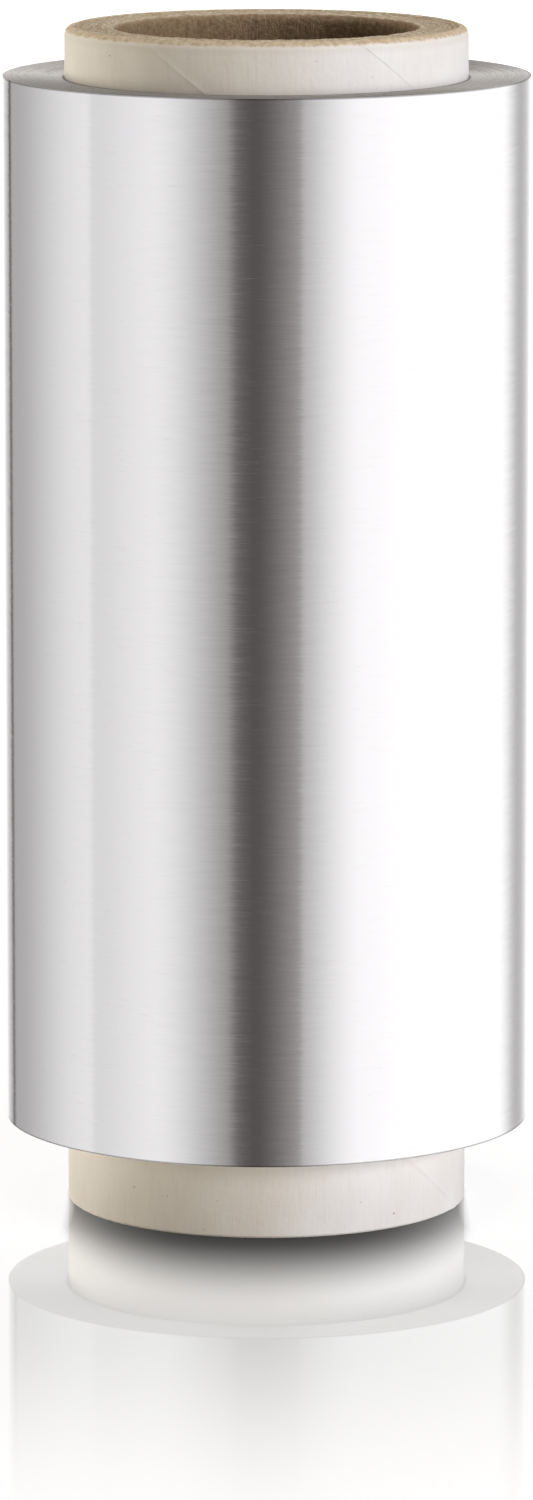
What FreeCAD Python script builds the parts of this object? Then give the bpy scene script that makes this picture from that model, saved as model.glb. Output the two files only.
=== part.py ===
import FreeCAD, Part
import math
import os

# A roll of aluminium foil for hairdressing, standing on one end of its core.
# The foil is one long web wound tightly on a spiral-wound cardboard tube.
# The tube is longer than the web, so a short stretch of it shows at each end.
# All sizes are in millimetres. The axis of the roll is +Z, and z = 0 is the
# lower end of the core, the face that the roll stands on. The front is -Y.

# Foil web
web_width = 120.0
winding_thickness = 7.0  # how deep the foil lies on the core
lap_pitch = 0.7          # each drawn lap stands for about sixty turns of 0.012 mm foil
lap_gap = 0.07           # air between two drawn laps
core_gap = 0.1           # air between the core and the first lap
tail_lift = 0.12         # how far the free end of the web stands off the lap under it
tail_angle = 105.0       # where the free end lies, in degrees from +X towards +Y

# Cardboard core
bore_diameter = 34.0
board_thickness = 5.7
bore_chamfer = 0.5       # the board is worn back where the knife left the bore
core_end_below = 9.8     # core left bare under the web
core_end_above = 5.6     # core left bare over the web

# White paper strip glued round the core
cover_thickness = 0.2
cover_edge_round = 1.0   # the strip is burnished over the core's two outer edges
corner_steps = 2         # straight bevels that draw such a small rounded edge
seam_lead = 104.0        # how far the strip's seam climbs in one turn
seam_gap = 0.2           # the strip's two edges stop short of each other
seam_angle = -45.0       # where the seam meets the top of the web, in degrees from +X

bore_radius = bore_diameter / 2
board_radius = bore_radius + board_thickness
core_radius = board_radius + cover_thickness
core_length = core_end_below + web_width + core_end_above
rim_radius = core_radius - cover_edge_round
winding_bore_radius = core_radius + core_gap
winding_radius = winding_bore_radius + winding_thickness
web_bottom = core_end_below
web_top = web_bottom + web_width

ORIGIN = FreeCAD.Vector(0, 0, 0)
AXIS = FreeCAD.Vector(0, 0, 1)


def line(start, end):
    return Part.LineSegment(start, end).toShape()


def arc(centre_x, radius, start_deg, end_deg):
    """An arc in the XY plane about a centre on the X axis, run through anticlockwise."""
    circle = Part.Circle(FreeCAD.Vector(centre_x, 0, 0), AXIS, radius)
    return Part.Arc(circle, math.radians(start_deg), math.radians(end_deg)).toShape()


def closed_wire(edges):
    return Part.Wire(Part.__sortEdges__(edges))


def section_outline(points):
    """A closed outline in the XZ plane through points given as radius and height."""
    corners = [FreeCAD.Vector(radius, 0, height) for radius, height in points]
    return Part.makePolygon(corners + corners[:1])


def turned(points):
    """The solid that a closed section of radius and height points sweeps round the axis."""
    return Part.Face(section_outline(points)).revolve(ORIGIN, AXIS, 360)


def lap_slit():
    """The section of the air between the laps: one spiral made of tangent half circles.

    The half circles are centred a quarter of the pitch to either side of the axis in
    turn, so each runs into the next with no kink and the spiral grows a pitch a turn.
    One lap of foil is left whole inside the spiral and at least one outside it.
    """
    first_radius = winding_bore_radius + lap_pitch
    room = winding_radius - tail_lift - lap_pitch - first_radius
    half_turns = math.floor(2 * room / lap_pitch)
    inner, outer = [], []
    for k in range(half_turns):
        side = -1 if k % 2 == 0 else 1
        start = 0 if side < 0 else 180
        radius = first_radius + (k + 0.5) * lap_pitch / 2
        centre_x = side * lap_pitch / 4
        inner.append(arc(centre_x, radius - lap_gap / 2, start, start + 180))
        outer.append(arc(centre_x, radius + lap_gap / 2, start, start + 180))
    first_end = line(inner[0].firstVertex().Point, outer[0].firstVertex().Point)
    last_end = line(inner[-1].lastVertex().Point, outer[-1].lastVertex().Point)
    return closed_wire(inner + outer + [first_end, last_end])


def web_outline():
    """The outside of the winding: one turn of a very flat spiral, closed by the web's free end."""
    shift = tail_lift / 4
    mean_radius = winding_radius - tail_lift / 2
    first_half = arc(-shift, mean_radius - shift, 0, 180)
    last_half = arc(shift, mean_radius + shift, 180, 360)
    free_end = line(last_half.lastVertex().Point, first_half.firstVertex().Point)
    outline = closed_wire([first_half, last_half, free_end])
    outline.rotate(ORIGIN, AXIS, tail_angle)
    return outline


def make_foil_winding():
    """The web as wound: one strip in a spiral from the core outwards, square at both ends."""
    bore = Part.Wire(Part.makeCircle(winding_bore_radius))
    section = Part.Face([web_outline(), bore, lap_slit()], "Part::FaceMakerBullseye")
    section.translate(FreeCAD.Vector(0, 0, web_bottom))
    return section.extrude(FreeCAD.Vector(0, 0, web_width))


def rounded_edges(radius):
    """The points up the outside of the core, round its lower edge and then its upper edge.

    radius is that of the rounding, which is centred cover_edge_round in from both faces.
    """
    quarter = [math.pi / 2 * step / corner_steps for step in range(corner_steps + 1)]
    lower = [(rim_radius + radius * math.sin(turn), cover_edge_round - radius * math.cos(turn))
             for turn in quarter]
    upper = [(across, core_length - up) for across, up in reversed(lower)]
    return lower + upper


def make_core_tube():
    """The tube of glued kraft board, cut square, with its outside recessed for the cover."""
    outside = rounded_edges(cover_edge_round - cover_thickness)
    chamfer_radius = bore_radius + bore_chamfer
    bottom = [(chamfer_radius, 0), (rim_radius, 0)]
    top = [(rim_radius, core_length), (chamfer_radius, core_length)]
    bore = [(bore_radius, core_length - bore_chamfer), (bore_radius, bore_chamfer)]
    return turned(bottom + outside + top + bore)


def seam_cutter():
    """A thin left-handed wall that climbs round the core along the seam of the paper strip."""
    overrun = seam_lead / 8
    slope = math.atan(seam_lead / (2 * math.pi * core_radius))
    half_height = seam_gap / math.cos(slope) / 2
    deep = core_radius - 2 * cover_edge_round
    proud = core_radius + cover_edge_round
    blade = section_outline([(deep, -half_height), (proud, -half_height),
                             (proud, half_height), (deep, half_height)])
    helix = Part.makeHelix(seam_lead, core_length + 2 * overrun, core_radius)
    wall = Part.Wire(helix.Edges).makePipeShell([blade], True, True)
    wall = wall.mirror(ORIGIN, FreeCAD.Vector(0, 1, 0))
    wall.translate(FreeCAD.Vector(0, 0, -overrun))
    turned_at_web_top = -360 * (web_top + overrun) / seam_lead
    wall.rotate(ORIGIN, AXIS, seam_angle - turned_at_web_top)
    return wall


def make_core_cover():
    """The strip of white paper wound round the board, whose edges meet in a helical seam."""
    outside = rounded_edges(cover_edge_round)
    inside = rounded_edges(cover_edge_round - cover_thickness)
    return turned(outside + inside[::-1]).cut(seam_cutter())


PARTS = {
    "foil_winding": make_foil_winding,
    "core_tube": make_core_tube,
    "core_cover": make_core_cover,
}

os.makedirs("parts", exist_ok=True)
for name, make in PARTS.items():
    shape = make()
    print(name, "valid", shape.isValid(), "solids", len(shape.Solids), "volume", round(shape.Volume, 1))
    shape.exportStep(os.path.join("parts", name + ".step"))
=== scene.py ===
# %% [markdown]
# # A roll of aluminium foil, dressed for its picture
#
# A foil roll is two things: a cardboard tube, and one very long web of foil wound
# round it. The CAD model gives the sizes. This script dresses it. It lays on the
# foil with its many turn edges, the fibrous board with its layers, and the strip
# of white paper round the board, and then it sets up the studio.
#
# Metal is mostly a picture of what stands round it, so half of the work on this
# roll is the studio: pale cards and dark gaps that fall on the foil as long bands.

# %% Load the frame
import bpy
import math
import random
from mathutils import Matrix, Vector


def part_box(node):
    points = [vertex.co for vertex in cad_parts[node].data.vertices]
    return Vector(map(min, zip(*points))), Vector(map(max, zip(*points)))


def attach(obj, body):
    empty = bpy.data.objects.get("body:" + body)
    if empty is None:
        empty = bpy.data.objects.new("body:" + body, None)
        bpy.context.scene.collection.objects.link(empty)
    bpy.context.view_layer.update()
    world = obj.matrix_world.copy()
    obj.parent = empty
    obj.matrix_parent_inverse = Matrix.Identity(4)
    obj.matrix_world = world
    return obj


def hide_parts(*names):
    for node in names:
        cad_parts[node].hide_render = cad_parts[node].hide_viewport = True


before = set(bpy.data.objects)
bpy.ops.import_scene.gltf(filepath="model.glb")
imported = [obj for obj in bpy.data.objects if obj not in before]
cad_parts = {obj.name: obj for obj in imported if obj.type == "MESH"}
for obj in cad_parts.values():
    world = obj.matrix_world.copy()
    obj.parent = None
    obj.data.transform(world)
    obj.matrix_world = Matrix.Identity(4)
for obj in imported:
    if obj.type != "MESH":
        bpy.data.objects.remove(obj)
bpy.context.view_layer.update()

MM = 0.001


def in_mm(*lengths):
    """Lengths in metres as rounded millimetres, to be printed."""
    return [round(length / MM, 2) for length in lengths]


# %% [markdown]
# ## The sizes
#
# Nearly every size is read from the CAD pieces, so the dressed roll can't drift away
# from the model. Blender works in metres. Heights start at the floor, the roll's
# axis is the Z axis, and the front of the roll looks along -Y.

# %% Read the sizes from the CAD pieces
foil_low, foil_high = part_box("foil_winding")
board_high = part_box("core_tube")[1]
paper_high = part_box("core_cover")[1]

WEB_BOTTOM, WEB_TOP = foil_low.z, foil_high.z
FOIL_RADIUS = max(foil_high.x, foil_high.y, -foil_low.x, -foil_low.y)
CORE_RADIUS = paper_high.x
BOARD_RADIUS = board_high.x
CORE_TOP = board_high.z
BOARD_THICKNESS = 5.7 * MM
BORE_RADIUS = BOARD_RADIUS - BOARD_THICKNESS
ROUND_ABOVE = 1.0 * MM    # the core's upper outer edge is burnished to this radius
ROUND_BELOW = 0.35 * MM   # the lower one is crisper

print("foil from and to, and its radius", in_mm(WEB_BOTTOM, WEB_TOP, FOIL_RADIUS))
print("core height, radius and bore radius", in_mm(CORE_TOP, CORE_RADIUS, BORE_RADIUS))

# %% [markdown]
# ## The camera
#
# The picture was taken with a long lens from a little above, so the two ends of the
# roll show as flat ellipses and its sides stay almost upright. A camera that stands
# about a metre away, with a long lens, and that tips down to the middle of the roll
# gives the same view.

# %% Place the camera
CAMERA_PLACE = (0.0, -0.973, 0.2178)
CAMERA_PITCH = 9.66     # degrees that it tips down
FOCAL_LENGTH = 206.4    # mm, on a picture 36 mm high
SENSOR = 36

camera = bpy.data.objects.new("camera", bpy.data.cameras.new("camera"))
bpy.context.scene.collection.objects.link(camera)
camera.location = CAMERA_PLACE
camera.rotation_euler = (math.radians(90 - CAMERA_PITCH), 0, 0)
camera.data.lens = FOCAL_LENGTH
camera.data.sensor_width = SENSOR
camera.data.clip_start, camera.data.clip_end = 0.05, 20
bpy.context.scene.camera = camera
print("camera", CAMERA_PLACE, "tipped down", CAMERA_PITCH, "degrees")

# %% [markdown]
# ## Drawing a section and turning it
#
# Most of this roll is round, so its pieces are made on a lathe: half of the section
# is drawn point by point, and then it is spun round the axis. By hand this is one
# vertex in edit mode, extruded again and again, and the Spin tool.
#
# Spin leaves a double row of vertices where it ends, and it can turn the shape
# inside out, so the doubles are merged and the faces are turned outwards.

# %% Helpers for edit mode
def start_vertex(name, place):
    """Add a new piece that is a single selected vertex, and stay in edit mode."""
    bpy.ops.object.select_all(action="DESELECT")
    bpy.ops.mesh.primitive_plane_add(size=MM, location=place)
    piece = bpy.context.object
    piece.name = piece.data.name = name
    bpy.ops.object.transform_apply(location=True, rotation=True, scale=True)
    bpy.ops.object.mode_set(mode="EDIT")
    bpy.ops.mesh.select_mode(type="VERT")
    bpy.ops.mesh.select_all(action="SELECT")
    bpy.ops.mesh.merge(type="CENTER")
    return piece


def draw_to(points):
    """Extrude the selected vertex from point to point, each given as radius and height."""
    for (radius, height), (next_radius, next_height) in zip(points, points[1:]):
        step = (next_radius - radius, 0, next_height - height)
        bpy.ops.mesh.extrude_vertices_move(TRANSFORM_OT_translate={"value": step})


def tidy_mesh():
    """Merge the doubles and turn all faces outwards."""
    bpy.ops.mesh.select_all(action="SELECT")
    bpy.ops.mesh.remove_doubles(threshold=0.0005 * MM)
    bpy.ops.mesh.normals_make_consistent(inside=False)


def lathe(name, section, steps):
    """Draw a closed section and turn it once round the axis."""
    piece = start_vertex(name, (section[0][0], 0, section[0][1]))
    draw_to(section + section[:1])
    bpy.ops.mesh.select_all(action="SELECT")
    bpy.ops.mesh.spin(steps=steps, angle=2 * math.pi, center=(0, 0, 0), axis=(0, 0, 1))
    tidy_mesh()
    bpy.ops.object.mode_set(mode="OBJECT")
    return piece


def smooth(piece, degrees):
    """Shade smoothly, but keep edges that are sharper than this."""
    bpy.ops.object.select_all(action="DESELECT")
    piece.select_set(True)
    bpy.context.view_layer.objects.active = piece
    bpy.ops.object.shade_smooth_by_angle(angle=math.radians(degrees))


def report(piece):
    """Print how large a piece is and how many faces it has."""
    print(piece.name, "faces", len(piece.data.polygons), "size in mm", in_mm(*piece.dimensions))


# %% [markdown]
# ## The winding
#
# The web is 120 mm wide and lies 7 mm deep on the core, in some six hundred turns.
# From a step away nobody sees the turns, but on the two ends of the roll their edges
# make fine rings, because no turn lies exactly over the last one.
#
# So the ends are drawn as a staircase of narrow rings, a seventh of a millimetre
# wide, whose heights wander a little. A real winding also dishes slightly, since
# the first turns are pressed hardest and sink towards the core. The still finer
# rings are left to the material.

# %% Draw the section of the winding
WINDING_BORE = CORE_RADIUS + 0.1 * MM
WINDING_STEPS = 192          # how many flat sides draw the round winding
LAST_TURN_GAP = 0.13 * MM    # the last turn is a sheet of its own, laid on over this
RING_COUNT = 46
END_DISH = 0.25 * MM         # how deep the end sinks towards the core
RING_WANDER = 0.018 * MM     # how far one ring strays from the next
RING_SUNK = 0.01 * MM        # and how far all of them stay below the last turn

ring_luck = random.Random(7)


def end_rings(level, sign):
    """The staircase across one end, from the core outwards; sign is 1 on top and -1 below."""
    outer = FOIL_RADIUS - LAST_TURN_GAP
    width = (outer - WINDING_BORE) / RING_COUNT
    points, drift = [], 0.0
    for ring in range(RING_COUNT):
        share = (ring + 0.5) / RING_COUNT
        drift = 0.8 * drift + ring_luck.uniform(-1, 1) * RING_WANDER
        near_edge = min(1, 8 * (1 - share))
        sunk = END_DISH * (1 - share) ** 2 + (abs(drift) + RING_SUNK) * near_edge
        height = level - sign * sunk
        points.append((WINDING_BORE + ring * width, height))
        points.append((WINDING_BORE + (ring + 1) * width, height))
    return points


top_rings = end_rings(WEB_TOP, 1)
bottom_rings = end_rings(WEB_BOTTOM, -1)
winding = lathe("foil_roll", bottom_rings + top_rings[::-1], WINDING_STEPS)
report(winding)

# %% [markdown]
# ## The last turn of the web
#
# The last turn is a thin sheet whose free end is only pressed down, so it makes a
# very flat spiral: under the free end it is a tenth of a millimetre closer to the
# axis. A line as long as the web is wide is spun round half a turn at a time, each
# half about a centre a little to one side, and the sheet is then given a thickness.

# %% Spin the last turn about two centres
TAIL_ANGLE = 105.0       # where the free end lies, in degrees from +X towards +Y
TAIL_LIFT = 0.12 * MM
SHEET = 0.03 * MM        # thicker than the real foil, so that the free end shows
SHEET_ROWS = 4
HALF_TURN_STEPS = 128

tail_x, tail_y = math.cos(math.radians(TAIL_ANGLE)), math.sin(math.radians(TAIL_ANGLE))
shift = TAIL_LIFT / 4
tucked_radius = FOIL_RADIUS - TAIL_LIFT
row_rise = (0, 0, (WEB_TOP - WEB_BOTTOM) / SHEET_ROWS)

last_turn = start_vertex("last_turn", (tucked_radius * tail_x, tucked_radius * tail_y, WEB_BOTTOM))
for _ in range(SHEET_ROWS):
    bpy.ops.mesh.extrude_vertices_move(TRANSFORM_OT_translate={"value": row_rise})
bpy.ops.mesh.select_all(action="SELECT")
for side in (-1, 1):
    centre = (side * shift * tail_x, side * shift * tail_y, 0)
    bpy.ops.mesh.spin(steps=HALF_TURN_STEPS, angle=-math.pi, center=centre, axis=(0, 0, 1))
tidy_mesh()
bpy.ops.object.mode_set(mode="OBJECT")
report(last_turn)

# %% Give the sheet its thickness and join it to the winding
def outward_share(piece):
    """How far the faces of a piece look away from the axis, from -1 to 1."""
    looks = [face.normal.x * face.center.x + face.normal.y * face.center.y for face in piece.data.polygons]
    return sum(1 if look > 0 else -1 for look in looks) / len(looks)


def face_outwards(piece):
    """Turn an open shell over if its faces look towards the axis."""
    if outward_share(piece) < 0:
        bpy.ops.object.mode_set(mode="EDIT")
        bpy.ops.mesh.select_all(action="SELECT")
        bpy.ops.mesh.flip_normals()
        bpy.ops.object.mode_set(mode="OBJECT")


def thicken(piece, thickness):
    """Give an open shell a wall that grows inwards from it."""
    wall = piece.modifiers.new("wall", "SOLIDIFY")
    wall.thickness, wall.offset = thickness, -1
    bpy.ops.object.modifier_apply(modifier="wall")


face_outwards(last_turn)
print("before it has a thickness, the sheet looks outwards", outward_share(last_turn))
thicken(last_turn, SHEET)

bpy.ops.object.select_all(action="DESELECT")
last_turn.select_set(True)
winding.select_set(True)
bpy.context.view_layer.objects.active = winding
bpy.ops.object.join()
smooth(winding, 25)
report(winding)

# %% [markdown]
# ## The cardboard core
#
# The core is wound from plies of grey-brown kraft board and then cut to length with
# a knife. The cut leaves a rough rim: the plies show as rings, fibres stand up
# between them, and the inner edge is worn back.
#
# The section is a simple ring again, with many points across its two rims. Displace
# modifiers with fine cloud textures then roughen the two rims up and down, and fray
# the inner edge from side to side. A vertex group for each keeps the rest smooth.

# %% Draw the board
PLIES = 9
BOARD_STEPS = 420
WORN_WIDTH = 0.45 * MM                   # the inner edge is worn back this far
VALLEY, RIDGES = 0.24, (0.11, 0.18)      # mm below the cut, between the plies and on them
FIRST_SUNK, LAST_SUNK = 0.16, 0.05       # mm, beside the bore and under the paper
AIR = 0.02 * MM                          # between the board and the paper
board_luck = random.Random(11)


def rim_points(level, sign, rounding):
    """Across one rim from the bore outwards, with a shallow valley between two plies."""
    points = []
    flat_end = CORE_RADIUS - rounding
    start = BORE_RADIUS + WORN_WIDTH
    for ply in range(PLIES):
        for share in (0.0, 0.3, 0.7):
            across = start + (flat_end - start) * (ply + share) / PLIES
            sunk = (VALLEY if share == 0 else board_luck.uniform(*RIDGES)) * MM
            points.append((across, level - sign * sunk))
    points[0] = (start, level - sign * FIRST_SUNK * MM)
    points.append((flat_end, level - sign * LAST_SUNK * MM))
    return points


def rounded_corner(level, sign, rounding):
    """The rounding under the paper, from the rim to the wall."""
    radius = rounding - (CORE_RADIUS - BOARD_RADIUS) - AIR
    centre = CORE_RADIUS - rounding
    turns = [math.radians(18 * k) for k in range(1, 6)]
    return [(centre + radius * math.sin(turn), level - sign * (rounding - radius * math.cos(turn)))
            for turn in turns]


def bore_edge(level, sign):
    """The worn inner edge, from the wall of the bore to the rim."""
    wear = [(0.0, 1.4), (0.02, 1.0), (0.08, 0.62), (0.2, 0.36), (0.32, 0.22)]    # mm out and down
    return [(BORE_RADIUS + across * MM, level - sign * down * MM) for across, down in wear]


def end_line(level, sign, rounding):
    """One end of the section, from the bore to the outer wall."""
    rim, corner = rim_points(level, sign, rounding), rounded_corner(level, sign, rounding)
    return bore_edge(level, sign) + rim + corner


bottom_line = end_line(0, -1, ROUND_BELOW)
top_line = end_line(CORE_TOP, 1, ROUND_ABOVE)
board = lathe("core_board", bottom_line + top_line[::-1], BOARD_STEPS)
report(board)

# %% Say which vertices are roughened
RIM_DEPTH = 0.3 * MM     # what lies this near to the end belongs to the rim
FADE = 0.5 * MM          # the roughness fades out over this, towards the paper
FRAYED_HEIGHT = 1.1 * MM


def add_group(piece, name, share_of):
    """A vertex group whose weights come from each vertex's radius and height."""
    group = piece.vertex_groups.new(name=name)
    for vertex in piece.data.vertices:
        share = share_of(math.hypot(vertex.co.x, vertex.co.y), vertex.co.z)
        if share > 0:
            group.add([vertex.index], share, "REPLACE")


def top_rim_share(radius, height):
    edge = (CORE_RADIUS - ROUND_ABOVE - radius) / FADE
    return max(0.0, min(1.0, edge)) if height > CORE_TOP - RIM_DEPTH else 0.0


def foot_rim_share(radius, height):
    edge = (CORE_RADIUS - ROUND_BELOW - radius) / FADE
    return max(0.0, min(1.0, edge)) if height < RIM_DEPTH else 0.0


def inner_edge_share(radius, height):
    near_bore = radius < BORE_RADIUS + FADE
    return 1.0 if near_bore and min(height, CORE_TOP - height) < FRAYED_HEIGHT else 0.0


add_group(board, "top_rim", top_rim_share)
add_group(board, "foot_rim", foot_rim_share)
add_group(board, "inner_edge", inner_edge_share)
print("groups", [group.name for group in board.vertex_groups])

# %% Roughen the rims and fray the inner edge
CLOUD_LEVEL = 0.68    # lighter clouds than this stand up and darker ones sink in, which most do


def displace(piece, group, texture_size, depth, axis, strength):
    """Push the vertices of a group to and fro with a cloud texture, and apply it."""
    clouds = bpy.data.textures.new(group + "_clouds", "CLOUDS")
    clouds.noise_scale, clouds.noise_depth = texture_size, depth
    push = piece.modifiers.new(group, "DISPLACE")
    push.texture, push.texture_coords = clouds, "LOCAL"
    push.direction, push.mid_level = axis, CLOUD_LEVEL
    push.strength, push.vertex_group = strength, group
    bpy.context.view_layer.objects.active = piece
    bpy.ops.object.modifier_apply(modifier=group)


displace(board, "top_rim", 0.7 * MM, 3, "Z", 0.26 * MM)
displace(board, "foot_rim", 0.7 * MM, 3, "Z", -0.16 * MM)
displace(board, "inner_edge", 0.9 * MM, 2, "X", 0.32 * MM)
displace(board, "inner_edge", 1.1 * MM, 2, "Y", 0.32 * MM)
board.vertex_groups.clear()
smooth(board, 50)
report(board)

# %% [markdown]
# ## The white paper round the board
#
# A long strip of white paper is glued round the board on the slant, so its two edges
# meet in a seam that climbs round the core like the stripe of a barber's pole. The
# board's own outer ply is a strip too, and its edge shows through the paper as a
# faint ridge.
#
# The Screw modifier makes exactly this: an upright line, as long as the strip is
# wide along the core, that turns and climbs. The line is a little shorter than the
# climb of one turn, and what is missing is the seam. The strip is then cut to length
# at both ends of the core, and its edges are drawn in over the board's rounded ones.

# %% Screw an upright line round the core
SEAM_LEAD = 104.0 * MM   # how far the seam climbs in one turn
SEAM_GAP = 0.03 * MM
SEAM_ANGLE = -45.0       # where the seam meets the top of the web, in degrees from +X
RIDGE_RISE = 85.8 * MM   # the ridge of the ply below lies this far over the lower edge
RIDGE_HEIGHT = 0.06 * MM
RIDGE_SHAPE = (          # mm up the core from the ridge, and its share of the full height
    (-0.8, 0), (-0.3, 0), (-0.12, 0.6), (0, 1), (0.12, 0.7), (0.3, 0.3), (0.6, 0), (1.2, 0),
)
STRIP_STEPS = 192
STRIP_TURNS = 4

seam_slope = math.atan(SEAM_LEAD / (2 * math.pi * CORE_RADIUS))
seam_high = SEAM_GAP / math.cos(seam_slope)
strip_low = WEB_TOP - 3 * SEAM_LEAD + seam_high / 2
strip_high = strip_low + SEAM_LEAD - seam_high
ridge_at = strip_low + RIDGE_RISE
strip_line = [(CORE_RADIUS, strip_low)]
for rise, share in RIDGE_SHAPE:
    strip_line.append((CORE_RADIUS + share * RIDGE_HEIGHT, ridge_at + rise * MM))
strip_line.append((CORE_RADIUS, strip_high))

paper = start_vertex("core_paper", (CORE_RADIUS, 0, strip_low))
draw_to(strip_line)
bpy.ops.mesh.select_all(action="SELECT")
bpy.ops.transform.rotate(value=-math.radians(SEAM_ANGLE), orient_axis="Z", center_override=(0, 0, 0))
bpy.ops.object.mode_set(mode="OBJECT")
print("seam starts at", in_mm(*paper.data.vertices[0].co))

climb = paper.modifiers.new("climb", "SCREW")
climb.axis, climb.angle, climb.screw_offset = "Z", -2 * math.pi, SEAM_LEAD
climb.steps = climb.render_steps = STRIP_STEPS
climb.iterations = STRIP_TURNS
climb.use_merge_vertices = False
bpy.ops.object.modifier_apply(modifier="climb")
report(paper)

# %% Cut the paper to length
def cut_level(piece, height, clear_up=False, clear_down=False):
    """Cut the piece at a height, and throw away what is over or under it if asked."""
    bpy.ops.object.mode_set(mode="EDIT")
    bpy.ops.mesh.select_all(action="SELECT")
    bpy.ops.mesh.bisect(plane_co=(0, 0, height), plane_no=(0, 0, 1),
                        clear_outer=clear_up, clear_inner=clear_down)
    bpy.ops.object.mode_set(mode="OBJECT")


cut_level(paper, 0, clear_down=True)
cut_level(paper, CORE_TOP, clear_up=True)
for turn in (0, 18, 36, 54, 72):
    share = 1 - math.sin(math.radians(turn))
    cut_level(paper, ROUND_BELOW * share)
    cut_level(paper, CORE_TOP - ROUND_ABOVE * share)
report(paper)

# %% Draw its edges in over the rounded edges of the board
def nearest_rounding(height):
    return ROUND_BELOW if height < CORE_TOP / 2 else ROUND_ABOVE


def rounding_depth(height):
    """How far a height lies inside the rounding of the nearer rim, 0 at its foot and 1 at the rim."""
    return 1 - min(height, CORE_TOP - height) / nearest_rounding(height)


def level_of(vertex):
    """A vertex's height in mm, rounded so that vertices on one level share it."""
    return round(vertex.co.z / MM, 3)


def select_level(piece, level):
    """Select the vertices of a piece that lie on a level, and go to edit mode."""
    bpy.ops.object.mode_set(mode="OBJECT")
    mesh = piece.data
    for group in (mesh.vertices, mesh.edges, mesh.polygons):
        group.foreach_set("select", [False] * len(group))
    mesh.vertices.foreach_set("select", [level_of(vertex) == level for vertex in mesh.vertices])
    bpy.ops.object.mode_set(mode="EDIT")


levels = sorted({level_of(vertex) for vertex in paper.data.vertices if rounding_depth(vertex.co.z) > 0.002})
for level in levels:
    depth = min(1, rounding_depth(level * MM))
    rounding = nearest_rounding(level * MM)
    narrow = 1 - rounding * (1 - math.sqrt(1 - depth * depth)) / CORE_RADIUS
    select_level(paper, level)
    bpy.ops.transform.resize(value=(narrow, narrow, 1), center_override=(0, 0, 0))
print("levels drawn in", len(levels))

# %% Merge the paper's doubles and give it its thickness
tidy_mesh()
bpy.ops.object.mode_set(mode="OBJECT")
face_outwards(paper)
print("before it has a thickness, the paper looks outwards", outward_share(paper))
thicken(paper, CORE_RADIUS - BOARD_RADIUS - AIR / 2)
smooth(paper, 30)
report(paper)

# %% [markdown]
# ## Writing a material as sums
#
# Nodes are wired by a small class. A Wire is the output of a node, and an ordinary
# sum on wires adds the Math nodes that work it out. Every other node comes from one
# call that takes its type, its settings and what goes into its sockets.

# %% A wire that can be used in sums
class Wire:
    """The output of a node. Sums on it add Math nodes to its tree."""

    def __init__(self, tree, socket):
        self.tree, self.socket = tree, socket

    def then(self, operation, *others):
        """Any other Math node, such as ABSOLUTE or MINIMUM, with this wire first."""
        return maths(self.tree, operation, self, *others)

    def __add__(self, other):
        return self.then("ADD", other)

    def __radd__(self, other):
        return self.then("ADD", other)

    def __sub__(self, other):
        return self.then("SUBTRACT", other)

    def __rsub__(self, other):
        return maths(self.tree, "SUBTRACT", other, self)

    def __mul__(self, other):
        return self.then("MULTIPLY", other)

    def __rmul__(self, other):
        return self.then("MULTIPLY", other)

    def __truediv__(self, other):
        return self.then("DIVIDE", other)

    def ramp(self, start, end, low=0.0, high=1.0):
        """A smooth change from low to high while this wire goes from start to end."""
        sockets = {"Value": self, "From Min": start, "From Max": end, "To Min": low, "To Max": high}
        return add_node(self.tree, "ShaderNodeMapRange", {"interpolation_type": "SMOOTHSTEP"}, sockets)


# %% Add any node
def find_socket(sockets, key):
    """A socket by its place in the list, or by its name among those that aren't hidden."""
    if isinstance(key, int):
        return sockets[key]
    return next(socket for socket in sockets if socket.enabled and socket.name == key)


def add_node(tree, kind, settings=None, sockets=None, output=None):
    """Add a node, make its settings first, then fill or link its sockets.

    It gives back the wire of the output that is named, a list of wires if several are
    named, and else the first one. A node with no output is given back itself.
    """
    node = tree.nodes.new(kind)
    for name, value in (settings or {}).items():
        setattr(node, name, value)
    for key, value in (sockets or {}).items():
        socket = find_socket(node.inputs, key)
        if isinstance(value, Wire):
            tree.links.new(value.socket, socket)
        else:
            socket.default_value = value
    if isinstance(output, str):
        return Wire(tree, find_socket(node.outputs, output))
    if output:
        return [Wire(tree, find_socket(node.outputs, name)) for name in output]
    live = [socket for socket in node.outputs if socket.enabled]
    return Wire(tree, live[0]) if live else node


def maths(tree, operation, *values):
    return add_node(tree, "ShaderNodeMath", {"operation": operation}, dict(enumerate(values)))


def paint(red, green, blue):
    """A colour as read off a picture, 0 to 255, as the linear values that nodes use."""
    def linear(level):
        level = level / 255
        return level / 12.92 if level <= 0.04045 else ((level + 0.055) / 1.055) ** 2.4
    return (linear(red), linear(green), linear(blue), 1.0)


print("middle grey for the nodes", paint(128, 128, 128))

# %% Colours, directions and places
def mix(tree, share, first, second, blend="MIX"):
    """One colour over another, by a share from 0 to 1."""
    settings = {"data_type": "RGBA", "blend_type": blend}
    return add_node(tree, "ShaderNodeMix", settings, {"Factor": share, "A": first, "B": second})


def vector(tree, operation, *values, **named):
    """A sum on directions; what goes into its sockets is given in order or by name."""
    sockets = {**dict(enumerate(values)), **named}
    return add_node(tree, "ShaderNodeVectorMath", {"operation": operation}, sockets)


def place(tree):
    """Where a point lies on the piece, in metres."""
    return add_node(tree, "ShaderNodeTexCoord", output="Object")


def axes(tree, where):
    """The X, Y and Z of a place."""
    return add_node(tree, "ShaderNodeSeparateXYZ", {}, {0: where}, output=("X", "Y", "Z"))


def radius_of(x, y):
    """How far a place lies from the axis."""
    return (x * x + y * y).then("SQRT")


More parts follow.
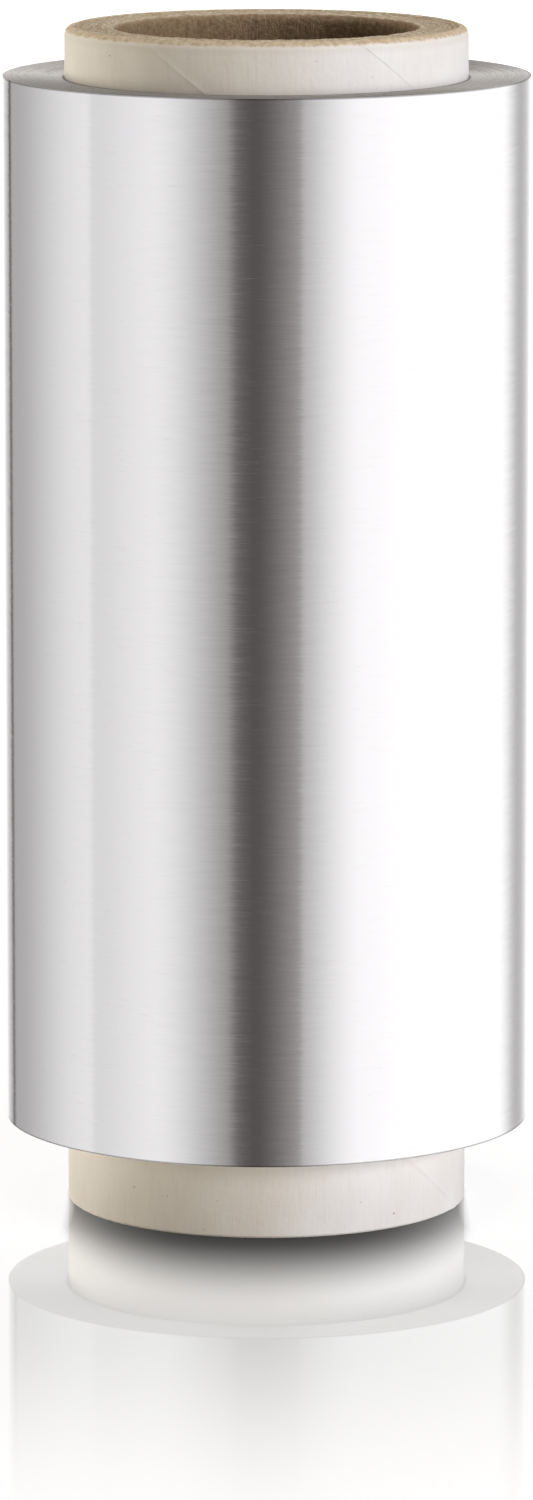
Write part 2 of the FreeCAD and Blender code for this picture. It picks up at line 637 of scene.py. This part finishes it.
def angle_of(x, y):
    """How far round the axis a place lies, in degrees from +X."""
    return y.then("ARCTAN2", x) * (180 / math.pi)


# %% Patterns and materials
def noise(tree, where, size, stretch=(1, 1, 1), detail=2.0, roughness=0.5, shift=(0, 0, 0)):
    """Cloudy noise whose blobs are about size metres wide, longer along each axis by its stretch."""
    scale = tuple(1 / (size * length) for length in stretch)
    spread = add_node(tree, "ShaderNodeMapping", {}, {"Vector": where, "Scale": scale, "Location": shift})
    sockets = {"Vector": spread, "Scale": 1.0, "Detail": detail, "Roughness": roughness}
    return add_node(tree, "ShaderNodeTexNoise", {}, sockets, output="Fac")


def noise_along(tree, way, detail=1.0, roughness=0.5):
    """Noise along a single value, such as the radius, with about one blob for each whole number."""
    sockets = {"W": way, "Scale": 1.0, "Detail": detail, "Roughness": roughness}
    return add_node(tree, "ShaderNodeTexNoise", {"noise_dimensions": "1D"}, sockets, output="Fac")


def bump(tree, height, distance, normal=None):
    """A normal that tips as a relief of this height would, on top of another if one is given."""
    sockets = {"Height": height, "Distance": distance}
    if normal is not None:
        sockets["Normal"] = normal
    return add_node(tree, "ShaderNodeBump", {}, sockets)


def new_material(name):
    material = bpy.data.materials.new(name)
    material.use_nodes = True
    material.node_tree.nodes.clear()
    return material, material.node_tree


def finish_with(tree, sockets):
    """End a material with a Principled shader."""
    shader = add_node(tree, "ShaderNodeBsdfPrincipled", {}, sockets)
    add_node(tree, "ShaderNodeOutputMaterial", {}, {"Surface": shader})


def dress(piece, *materials):
    """Give a piece its materials, in the order of their slots."""
    piece.data.materials.clear()
    for material in materials:
        piece.data.materials.append(material)
        print(piece.name, "wears", material.name, "of", len(material.node_tree.nodes), "nodes")


# %% [markdown]
# ## The finish of the foil
#
# Foil is rolled between steel rolls, and the rolls leave fine lines along the web.
# On the standing roll those lines run round it. They blur what the foil mirrors up
# and down and hardly at all from side to side, so a lamp shows as a long upright
# band with a fairly sharp edge. In Blender that is an anisotropic metal whose
# highlights are turned by a quarter.
#
# The rolling lines also show directly, as short wisps a few millimetres long and a
# fifth of a millimetre high. Each tips the surface about a degree to the side, which
# feathers the edges of the bands. Right at its two slit edges the web is dull.

# %% Make the foil
BRUSHED = {"Anisotropic": 0.97, "Anisotropic Rotation": 0.25}


def outward(tree):
    """The way the surface looks before any bump."""
    return add_node(tree, "ShaderNodeNewGeometry", output="Normal")


def foil_finish():
    material, tree = new_material("foil_sheet")
    where = place(tree)
    height = axes(tree, where)[2]
    wisps = noise(tree, where, 0.16 * MM, stretch=(26, 26, 1), detail=2.5, roughness=0.6)
    long_wisps = noise(tree, where, 0.5 * MM, stretch=(40, 40, 1), shift=(3, 5, 8))
    clouds = noise(tree, where, 14 * MM, stretch=(1, 1, 2.5), detail=3.0)
    scuffs = noise(tree, where, 0.13 * MM, stretch=(22, 22, 1), roughness=0.6, shift=(7, 2, 6))

    side_tip = (wisps - 0.5) * 0.04 + (long_wisps - 0.5) * 0.01
    facing = outward(tree)
    sideways = vector(tree, "CROSS_PRODUCT", (0, 0, 1), facing)
    tipped = vector(tree, "ADD", facing, vector(tree, "SCALE", sideways, Scale=side_tip))

    shade = wisps * 0.08 + clouds * 0.05 + long_wisps * 0.04 + 0.03
    colour = mix(tree, shade, paint(248, 248, 249), paint(216, 215, 216))
    from_slit = (height - WEB_BOTTOM).then("MINIMUM", WEB_TOP - height)
    colour = mix(tree, from_slit.ramp(0.22 * MM, 0.05 * MM) * 0.75, colour, paint(128, 126, 124))
    roughness = 0.155 + scuffs.ramp(0.52, 0.8) * 0.14 + (clouds - 0.5) * 0.03
    finish_with(tree, {
        "Base Color": colour, "Metallic": 1.0, "Roughness": roughness,
        "Normal": vector(tree, "NORMALIZE", tipped), **BRUSHED,
    })
    return material


foil_sheet = foil_finish()
print("made", foil_sheet.name)

# %% [markdown]
# The ends of the roll are the cut edges of six hundred turns, seen side on. They
# hold the light between them, so the ends look matt, darker and warmer than the
# foil, with fine rings. The rings are a noise that depends on the radius alone,
# broken up a little so that no ring goes evenly all the way round, and short dark
# ticks lie along them where an edge is nicked. Next to the core a dark line is
# painted into the colour as painted shade in the crevice between the first turns
# and the core.
#
# The knife folds the edges a little outwards, so the normal is leant away from the
# axis, the more the further out. The blur now runs towards the axis and away from
# it, which gives the ends their light and dark fans.

# %% Make the cut edges of the turns
EDGE_LEAN = 0.5          # how far the outermost edge leans, as a slope
RING_WIDTH, TICK_WIDTH = 0.085 * MM, 0.25 * MM
FACE_SLACK = 0.01 * MM   # the middle of a flat face lies less than this inside its round side


def turn_edge_finish():
    material, tree = new_material("foil_turn_edges")
    where = place(tree)
    x, y = axes(tree, where)[:2]
    radius = radius_of(x, y)
    wander = noise(tree, where, 9 * MM)
    ring_place = radius * (1 / RING_WIDTH) + wander * 2.2
    rings = noise_along(tree, ring_place, detail=2.0, roughness=0.7)
    broad_rings = noise_along(tree, ring_place * 0.16)
    grain = noise(tree, where, 0.35 * MM, detail=3.0)
    unrolled = {"X": angle_of(x, y) * 0.6, "Y": radius * (1 / TICK_WIDTH)}
    ticks = noise(tree, add_node(tree, "ShaderNodeCombineXYZ", {}, unrolled), 1.0, detail=2.5)
    # Painted shade: the crevice between the first turns and the core is darkened in the colour, on both
    # ends.
    crevice_painted_shade = radius.ramp(WINDING_BORE + 0.32 * MM, WINDING_BORE + 0.08 * MM)

    colour = mix(tree, rings.ramp(0.30, 0.70), paint(206, 200, 191), paint(252, 249, 244))
    colour = mix(tree, broad_rings.ramp(0.35, 0.7) * 0.25, colour, paint(194, 187, 177))
    colour = mix(tree, grain.ramp(0.55, 0.8) * 0.25, colour, paint(166, 158, 148))
    colour = mix(tree, ticks.ramp(0.54, 0.74) * 0.4, colour, paint(132, 125, 117))
    # The painted shade of that crevice, a dark line right next to the core.
    colour = mix(tree, crevice_painted_shade * 0.8, colour, paint(62, 58, 54))

    lean = vector(tree, "MULTIPLY", where, (EDGE_LEAN / FOIL_RADIUS, EDGE_LEAN / FOIL_RADIUS, 0))
    leaning = vector(tree, "NORMALIZE", vector(tree, "ADD", outward(tree), lean))
    relief = rings * 0.5 + broad_rings * 0.8 + grain * 0.5 + ticks * 0.8
    finish_with(tree, {
        "Base Color": colour, "Metallic": 1.0, "Roughness": 0.5 + grain * 0.1,
        "Normal": bump(tree, relief, 0.03 * MM, leaning), **BRUSHED, "Anisotropic": 0.96,
    })
    return material


foil_turn_edges = turn_edge_finish()
dress(winding, foil_sheet, foil_turn_edges)
inside_radius = FOIL_RADIUS - LAST_TURN_GAP - FACE_SLACK
for face in winding.data.polygons:
    upright = abs(face.normal.z) < 0.5
    outer = math.hypot(face.center.x, face.center.y) > inside_radius
    face.material_index = 0 if outer and upright else 1
print("turn edge faces", sum(face.material_index for face in winding.data.polygons))

# %% [markdown]
# ## The finish of the board
#
# Board is pressed from waste paper, so its colour is never even. The cut rim is pale
# brown with still paler fibres and with darker rings where one ply ends. The bore is
# a deeper brown, and the edge of its innermost ply winds down it as a faint line. A
# few orange-brown specks are scraps of bark that went through the mill.

# %% Make the board
PLY_WIDTH = 0.62 * MM
PLY_LEAD = 90 * MM       # how far the innermost ply climbs in one turn


def board_finish():
    material, tree = new_material("kraft_board")
    where = place(tree)
    x, y, height = axes(tree, where)
    radius = radius_of(x, y)
    grain = noise(tree, where, 0.5 * MM, detail=4.0, roughness=0.65)
    fibres = noise(tree, where, 0.22 * MM, stretch=(1, 1, 3), detail=3.0, roughness=0.7, shift=(4, 1, 2))
    patches = noise(tree, where, 5 * MM, detail=3.0, shift=(9, 2, 5))
    wobble = noise(tree, where, 2 * MM, shift=(1, 7, 3))
    specks = noise(tree, where, 0.6 * MM, detail=1.0, shift=(2, 3, 4))
    plies = noise_along(tree, (radius - BORE_RADIUS) * (2 / PLY_WIDTH) + wobble)

    rim = mix(tree, grain.ramp(0.3, 0.7), paint(194, 172, 142), paint(248, 236, 212))
    rim = mix(tree, plies.ramp(0.45, 0.7) * 0.5, rim, paint(150, 129, 103))
    rim = mix(tree, fibres.ramp(0.54, 0.72) * 0.75, rim, paint(252, 243, 224))
    rim = mix(tree, patches.ramp(0.4, 0.75) * 0.3, rim, paint(182, 152, 116))
    rim = mix(tree, specks.ramp(0.74, 0.80) * 0.7, rim, paint(148, 96, 56))

    turns = height * (1 / PLY_LEAD) + angle_of(x, y) / 360
    ply_line = 1 - (turns.then("FRACT") - 0.5).then("ABSOLUTE").ramp(0.0, 0.006)
    bore = mix(tree, grain.ramp(0.3, 0.75), paint(147, 122, 95), paint(182, 158, 128))
    bore = mix(tree, ply_line * 0.6, bore, paint(124, 100, 76))

    in_bore = radius.ramp(BORE_RADIUS + 0.5 * MM, BORE_RADIUS + 0.1 * MM)
    finish_with(tree, {
        "Base Color": mix(tree, in_bore, rim, bore), "Roughness": 0.9,
        "Normal": bump(tree, grain + fibres * 0.8, 0.2 * MM), "Specular IOR Level": 0.25,
    })
    return material


dress(board, board_finish())

# %% [markdown]
# ## The finish of the white paper
#
# The paper is plain, uncoated and a little dirty from the mill. It is white with
# fine upright streaks of fibre and a few brown specks. On the left a cream tint is
# painted in as painted warm shade. Near the upper rim it is rubbed and greyer, and
# the rim itself is rubbed through to the brown board.

# %% Make the paper
# Painted warm shade: a cream tint is painted on the left side, where the shade is warm. The side called
# aged below is this painted shade.
WARM_SHADE_AT = -135           # the middle of the aged side, in degrees from +X
WARM_SHADE_TINT = (0.955, 0.905, 0.785, 1)


def paper_finish():
    material, tree = new_material("core_paper_white")
    where = place(tree)
    x, y, height = axes(tree, where)
    clouds = noise(tree, where, 7 * MM, stretch=(1, 1, 1.6), detail=3.0)
    fibres = noise(tree, where, 0.35 * MM, stretch=(1, 1, 12), detail=3.0, roughness=0.65, shift=(3, 1, 2))
    flock = noise(tree, where, 0.7 * MM, detail=4.0, roughness=0.6, shift=(8, 2, 1))
    specks = noise(tree, where, 0.5 * MM, detail=0.0, shift=(1, 4, 9))
    colour = mix(tree, clouds.ramp(0.3, 0.72), paint(250, 248, 248), paint(243, 239, 237))
    colour = mix(tree, fibres.ramp(0.5, 0.75) * 0.2, colour, paint(222, 214, 204))
    colour = mix(tree, flock.ramp(0.55, 0.75) * 0.22, colour, paint(246, 243, 237))
    colour = mix(tree, specks.ramp(0.86, 0.89) * 0.5, colour, paint(150, 122, 92))

    # The painted warm shade, a cream tint that is strongest on the left side.
    from_warm_shade = (angle_of(x, y) - WARM_SHADE_AT) * (math.pi / 180)
    colour = mix(tree, from_warm_shade.then("COSINE").ramp(0.3, 1.0), colour, WARM_SHADE_TINT, blend="MULTIPLY")

    below_rim = CORE_TOP - height + (flock - 0.5) * (0.36 * MM) + (fibres - 0.5) * (0.3 * MM)
    colour = mix(tree, below_rim.ramp(1.9 * MM, 0.6 * MM) * 0.25, colour, paint(214, 203, 186))
    kraft = mix(tree, flock.ramp(0.35, 0.65), paint(194, 173, 143), paint(220, 203, 177))
    colour = mix(tree, below_rim.ramp(0.64 * MM, 0.34 * MM), colour, kraft)

    relief = fibres * 0.5 + flock * 0.7 + clouds * 0.6
    finish_with(tree, {
        "Base Color": colour, "Roughness": 0.62, "Normal": bump(tree, relief, 0.05 * MM),
        "Specular IOR Level": 0.4,
    })
    return material


dress(paper, paper_finish())

# %% [markdown]
# ## Handing the pieces over
#
# Each new piece stands for the CAD piece of the same thing and rides on the one body
# of the roll, and the CAD piece is hidden.

# %% Ride and replace
for piece, node, slot_name in (
    (winding, "foil_winding", "foil"),
    (board, "core_tube", "board"),
    (paper, "core_cover", "cover_paper"),
):
    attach(piece, "root")
    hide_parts(node)
    print(piece.name, "stands for", node)

# %% [markdown]
# ## The studio
#
# The bands on the foil are the studio. Going round the roll from the back, there is
# a white wall behind it, a thin dark gap, a long grey card on the left with a soft
# lamp on it, the dark space that the camera stands in, and a broad white wall on
# the right. The ceiling is dark, with a small white sheet straight overhead. A world
# shader can hold all of it: the direction of a ray gives the angle round the roll,
# and each edge of a card adds or takes away some light.
#
# The camera itself sees plain white in place of the cards. What isn't shiny gets
# only a little light from them, because it has lamps of its own.

# %% Hang the cards round the roll
# Each edge: where it is in degrees to the right of the camera, how soft it is to
# either side, and how much brighter it gets there.
BACK_WALL = 1.0
CARD_EDGES = [
    (-165.2, 14.5, -0.615),  # the white wall at the back ends
    (-113.0, 30.3, 0.37),    # the grey card on the left grows lighter
    (-83.0, 0.8, -0.11),     # the card stops short of the next one
    (-66.1, 19.2, 0.153),    # the soft lamp on the left
    (-28.3, 24.4, -0.615),   # it fades towards the camera
    (-15.0, 3.0, -0.108),    # the dark cloth round the camera
    (11.2, 17.4, 0.331),     # light leaks in on the right of the camera
    (15.1, 1.1, 0.114),      # the near edge of the right wall
    (29.1, 15.8, 0.418),     # the right wall, growing towards its lamp
    (55.0, 11.7, 0.065),     # full white
    (134.9, 11.1, -0.563),   # the right wall ends
    (162.8, 15.2, 0.559),    # the white wall at the back again
]
GAP_AT, GAP_HALF, GAP_DEPTH = -152.0, 3.5, 0.36
CEILING_LIGHT, CEILING_EDGE = 0.14, (0.28, 0.72)     # edges as sines of the height over the horizon
SKYLIGHT, SKYLIGHT_EDGE = 0.55, (0.9, 0.985)
STUDIO_LEVEL = 1.15


def studio_light(tree):
    """How bright the studio is in the direction of a ray."""
    x, y, z = axes(tree, add_node(tree, "ShaderNodeTexCoord", output="Generated"))
    round_angle = x.then("ARCTAN2", 0 - y) * (180 / math.pi)
    light = BACK_WALL
    for where, soft, change in CARD_EDGES:
        light = light + round_angle.ramp(where - soft, where + soft, 0.0, change)
    off_gap = (round_angle - GAP_AT).then("ABSOLUTE")
    light = light - off_gap.ramp(0, GAP_HALF, GAP_DEPTH, 0.0)
    ceiling = z.ramp(*CEILING_EDGE)
    skylight = z.ramp(*SKYLIGHT_EDGE, 0.0, SKYLIGHT)
    return (light * (1 - ceiling) + ceiling * CEILING_LIGHT + skylight) * STUDIO_LEVEL


# %% Put the cards into the world
BLACK, WHITE = (0, 0, 0, 1), (1, 1, 1, 1)
DIM_TINT, BRIGHT_TINT = (1.04, 0.945, 0.92, 1), (1.0, 0.985, 0.99, 1)    # of dim and bright cards
WARM_WHITE = (1.0, 0.96, 0.90, 1)
CARDS_ON_PAPER = 0.12    # how much of the cards' light falls on what isn't shiny

world = bpy.data.worlds.new("studio")
bpy.context.scene.world = world
world.use_nodes = True
world_tree = world.node_tree
world_tree.nodes.clear()
camera_ray, diffuse_ray = add_node(world_tree, "ShaderNodeLightPath",
                                   output=("Is Camera Ray", "Is Diffuse Ray"))
cards = studio_light(world_tree)
card_colour = mix(world_tree, cards.ramp(0.05, 0.62), DIM_TINT, BRIGHT_TINT)
card_colour = mix(world_tree, diffuse_ray, card_colour, WARM_WHITE)
seen_colour = mix(world_tree, camera_ray, card_colour, WHITE)
seen = cards * (1 - camera_ray) * (1 - diffuse_ray * (1 - CARDS_ON_PAPER)) + camera_ray
background = add_node(world_tree, "ShaderNodeBackground", {}, {"Color": seen_colour, "Strength": seen})
add_node(world_tree, "ShaderNodeOutputWorld", {}, {"Surface": background})
print("edges of cards", len(CARD_EDGES))

# %% [markdown]
# The cards are what the metal mirrors. The paper and the board need lamps as well:
# a broad soft one on the right, a warmer one on the left and a little behind, and
# one overhead that lights the rim and looks into the bore. They are left out of
# mirror images, where the cards stand in for them, and out of the camera's sight.

# %% Hang the lamps
LAMPS = [
    # name, degrees to the right of the camera, degrees up, watts, width and height in m, colour
    ("right_lamp", 52, 4, 14.4, 0.8, 0.7, (1.0, 1.0, 1.02)),
    ("left_lamp", -110, 3, 11.5, 0.9, 0.25, (1.0, 0.975, 0.93)),
    ("top_lamp", 0, 86, 7.8, 0.9, 0.9, (1.0, 0.965, 0.91)),
]
LAMP_DISTANCE = 1.2

for name, right, up, watts, width, tall, colour in LAMPS:
    lamp = bpy.data.objects.new(name, bpy.data.lights.new(name, "AREA"))
    bpy.context.scene.collection.objects.link(lamp)
    right, up = math.radians(right), math.radians(up)
    away = Vector((math.sin(right) * math.cos(up), -math.cos(right) * math.cos(up), math.sin(up)))
    lamp.location = Vector((0, 0, CORE_TOP / 2)) + away * LAMP_DISTANCE
    lamp.rotation_euler = away.to_track_quat("Z", "Y").to_euler()
    lamp.data.shape, lamp.data.size, lamp.data.size_y = "RECTANGLE", width, tall
    lamp.data.energy, lamp.data.color = watts, colour
    lamp.visible_glossy = lamp.visible_camera = False
print("lamps", [lamp[0] for lamp in LAMPS])

# %% [markdown]
# ## The floor
#
# The roll stands on a sheet of white gloss. It keeps the roll's shadow, darkest where
# the core touches it, a second one that is wide and very faint, and a mirror image
# that fades away from the roll. A thin white sheet needs no thickness, so it is a
# single round face, far wider than the picture.
#
# Soft lamps leave hardly any shadow on a floor that glows, so both shadows are drawn
# on it, and only for the camera. Neither the light that the floor throws back on the
# roll nor a mirror image knows of them.

# %% Lay the floor
FLOOR_RADIUS = 3.0       # metres
FLOOR_SIDES = 96
FLOOR_DROP = 0.02 * MM   # it lies a hair under the core

bpy.ops.object.select_all(action="DESELECT")
bpy.ops.mesh.primitive_circle_add(vertices=FLOOR_SIDES, radius=FLOOR_RADIUS, fill_type="NGON",
                                  location=(0, 0, -FLOOR_DROP))
floor = bpy.context.object
floor.name = "floor"
bpy.ops.object.transform_apply(location=True, rotation=True, scale=True)
print("floor", 2 * FLOOR_RADIUS, "m across")

# %% Draw the two shadows
CAMERA_DISTANCE = 1.0    # metres
SHADOW_REACH = 35 * MM
BROAD_SHADE = 0.86       # how much light the wide shadow leaves at its darkest


def off_lane(x, y, half_width):
    """How far to the side of a lane a place lies. The lane narrows towards the camera."""
    return x.then("ABSOLUTE") - (y * (CORE_RADIUS / CAMERA_DISTANCE) + half_width)


def foot_shadow(x, y):
    """The dark foot of the roll's shadow, which falls from the core towards the front."""
    under = (CORE_RADIUS ** 2 - x * x).then("MAXIMUM", 0.0)
    before_core = 0 - y - under.then("SQRT")
    spread = 0.4 * MM + before_core.then("MAXIMUM", 0.0) * 0.04
    beside = off_lane(x, y, CORE_RADIUS).ramp(-1.5 * MM, spread)
    behind = y.ramp(-4 * MM, 4 * MM)
    aside = x * x * (1 / CORE_RADIUS ** 2)
    reach = (1 - aside * 0.3) * SHADOW_REACH
    darkest = aside * aside * 0.3 + 0.08
    depth = before_core.ramp(0.0, reach, darkest, 1.0)
    return depth.then("MAXIMUM", beside).then("MAXIMUM", behind)


def broad_shadow(x, y):
    """The faint wide shadow in front of the roll, as broad as the roll itself."""
    beside = off_lane(x, y, FOIL_RADIUS).ramp(-18 * MM, 32 * MM)
    behind = y.ramp(-85 * MM, -14 * MM)
    dimming = radius_of(x, y).ramp(40 * MM, 190 * MM, 1 - BROAD_SHADE, 0.0)
    return 1 - dimming * (1 - beside) * (1 - behind)


# %% Make the white gloss
LIT_SHARE = 0.4          # how much of the floor's white near the roll takes light; the rest glows
FLOOR_GLOW = 1.32
FLOOR_WHITE = (0.9, 0.9, 0.9, 1)
FLOOR_BOUNCE = (0.53, 0.505, 0.455, 1)    # what the roll gets back from it
MIRROR_TINT = (0.85, 0.85, 0.85, 1)
MIRROR_NEAR, MIRROR_FAR = 0.44, 0.05


def floor_finish():
    material, tree = new_material("white_gloss_floor")
    x, y = axes(tree, place(tree))[:2]
    radius = radius_of(x, y)
    looked_at = add_node(tree, "ShaderNodeLightPath", output="Is Camera Ray")
    shadow = (foot_shadow(x, y) * broad_shadow(x, y)).then("MAXIMUM", 1 - looked_at)

    white = mix(tree, looked_at, FLOOR_BOUNCE, FLOOR_WHITE)
    matt = add_node(tree, "ShaderNodeBsdfDiffuse", {}, {"Color": mix(tree, shadow, BLACK, white)})
    glow = add_node(tree, "ShaderNodeEmission", {},
                    {"Color": mix(tree, shadow, BLACK, WHITE), "Strength": FLOOR_GLOW})
    glow_share = looked_at * radius.ramp(100 * MM, 900 * MM, 1 - LIT_SHARE, 1.0)
    sheet = add_node(tree, "ShaderNodeMixShader", {}, {0: glow_share, 1: matt, 2: glow})

    mirror = add_node(tree, "ShaderNodeBsdfGlossy", {},
                      {"Color": mix(tree, shadow, BLACK, MIRROR_TINT), "Roughness": 0.0})
    glancing = add_node(tree, "ShaderNodeLayerWeight", {}, {"Blend": 0.5}, output="Facing")
    near = radius.ramp(32 * MM, 150 * MM, MIRROR_NEAR, MIRROR_FAR) * glancing.ramp(0.3, 0.72)
    surface = add_node(tree, "ShaderNodeMixShader", {}, {0: near, 1: sheet, 2: mirror})
    add_node(tree, "ShaderNodeOutputMaterial", {}, {"Surface": surface})
    return material


dress(floor, floor_finish())
floor.visible_glossy = False

# %% [markdown]
# ## The last things
#
# Colours are shown as they are, with no film look.

# %% Show the colours as they are
bpy.context.scene.view_settings.view_transform = "Standard"
